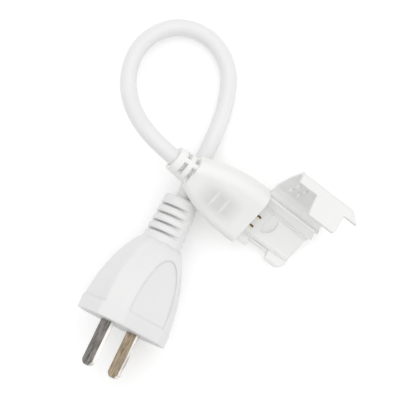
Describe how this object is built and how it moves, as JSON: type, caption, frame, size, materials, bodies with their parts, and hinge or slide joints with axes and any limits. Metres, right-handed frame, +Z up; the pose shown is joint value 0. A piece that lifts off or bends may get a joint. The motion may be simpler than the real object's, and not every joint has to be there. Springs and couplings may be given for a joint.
{
  "type": "led strip power connector",
  "caption": "Short mains lead for a light strip: moulded flat-blade plug, looped white cable and a frosted connector with contact pins and a hinged snap clip for the strip's end.",
  "frame": {"origin": "on the floor under the middle of the connector with its open lid, which is measured without the cable and the plug", "axes": "+Z up from the floor, +X along the connector in plan, from the cable to the clip's open front, +Y towards the hinge side of the clip"},
  "size_m": [0.1033, 0.1236, 0.034],
  "materials": {
    "white_pvc": "satin moulded PVC",
    "cable_sheath": "smooth PVC sheath",
    "nickel": "nickel plate on brass",
    "carrier_plastic": "plain moulded",
    "brown_core": "extruded insulation",
    "blue_core": "extruded insulation",
    "copper": "stranded copper",
    "frosted_housing": "frosted translucent",
    "block_plastic": "moulded",
    "brass_pin": "bright turned",
    "frosted_clip": "frosted translucent polypropylene"
  },
  "bodies": {
    "lead": {"plug_body": "white_pvc", "cable": "cable_sheath", "blade_left": "nickel", "blade_right": "nickel", "blade_carrier": "carrier_plastic", "plug_core_left": "brown_core", "connector_core_hinge_side": "brown_core", "plug_core_right": "blue_core", "connector_core_latch_side": "blue_core", "plug_strand_left": "copper", "plug_strand_right": "copper", "connector_strand_hinge_side": "copper", "connector_strand_latch_side": "copper", "connector_housing": "frosted_housing", "contact_block": "block_plastic", "contact_pin_hinge_side": "brass_pin", "contact_pin_latch_side": "brass_pin", "clip_tray": "frosted_clip"},
    "lid": {"clip_lid": "frosted_clip"}
  },
  "joints": [
    {"name": "lid_hinge", "type": "hinge", "parent": "lead", "child": "lid", "pos_m": [0.01336, 0.00333, 0.01166], "axis": [0.9681, 0, -0.2504], "range_deg": [-8, 137.5]}
  ]
}
